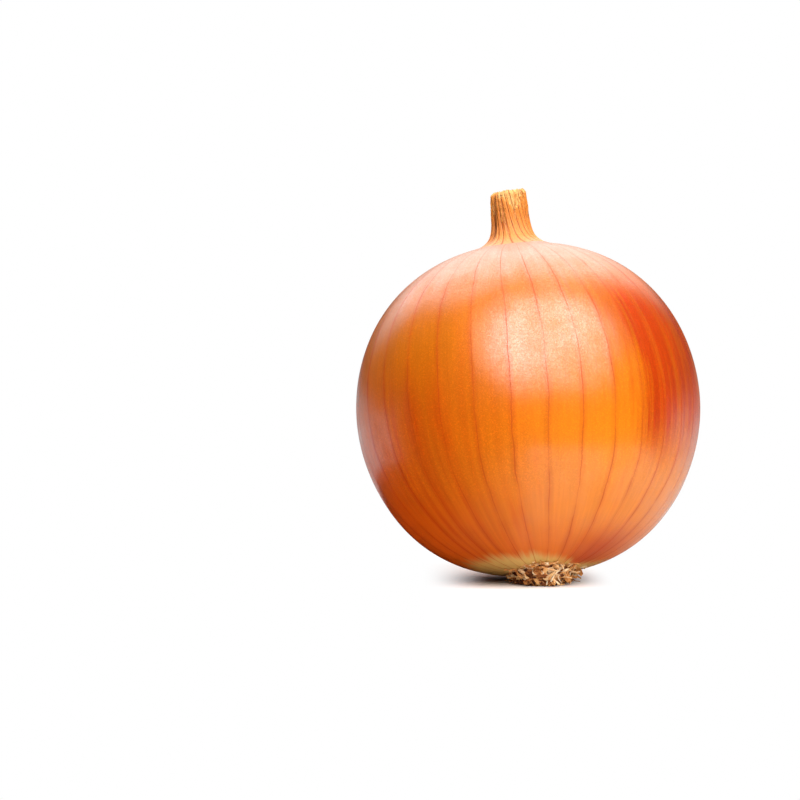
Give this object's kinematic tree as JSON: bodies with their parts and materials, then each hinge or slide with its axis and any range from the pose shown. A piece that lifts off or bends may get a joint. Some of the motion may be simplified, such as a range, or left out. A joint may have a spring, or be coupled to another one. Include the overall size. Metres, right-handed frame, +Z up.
{
  "type": "onion",
  "caption": "Whole brown-skinned globe onion with veined dry skin, a short cut neck of dried leaf sheaths and a trimmed root tuft that it stands on.",
  "frame": {"origin": "the point where the bulb's axis meets the surface that the onion stands on", "axes": "+Z up from that surface, +X to the right and +Y away as seen in the picture; the bulb leans a little to -X and +Y"},
  "size_m": [0.0804, 0.0801, 0.0916],
  "materials": {
    "skin": "satin dry skin, orange-brown with darker red-brown veins",
    "dry_sheath": "dry, fibrous straw colour with brown grooves",
    "root_cork": "rough, matt brown cork and dried root stubs"
  },
  "bodies": {
    "root": {"bulb": "skin", "neck": "dry_sheath", "root_tuft": "root_cork"}
  },
  "joints": []
}
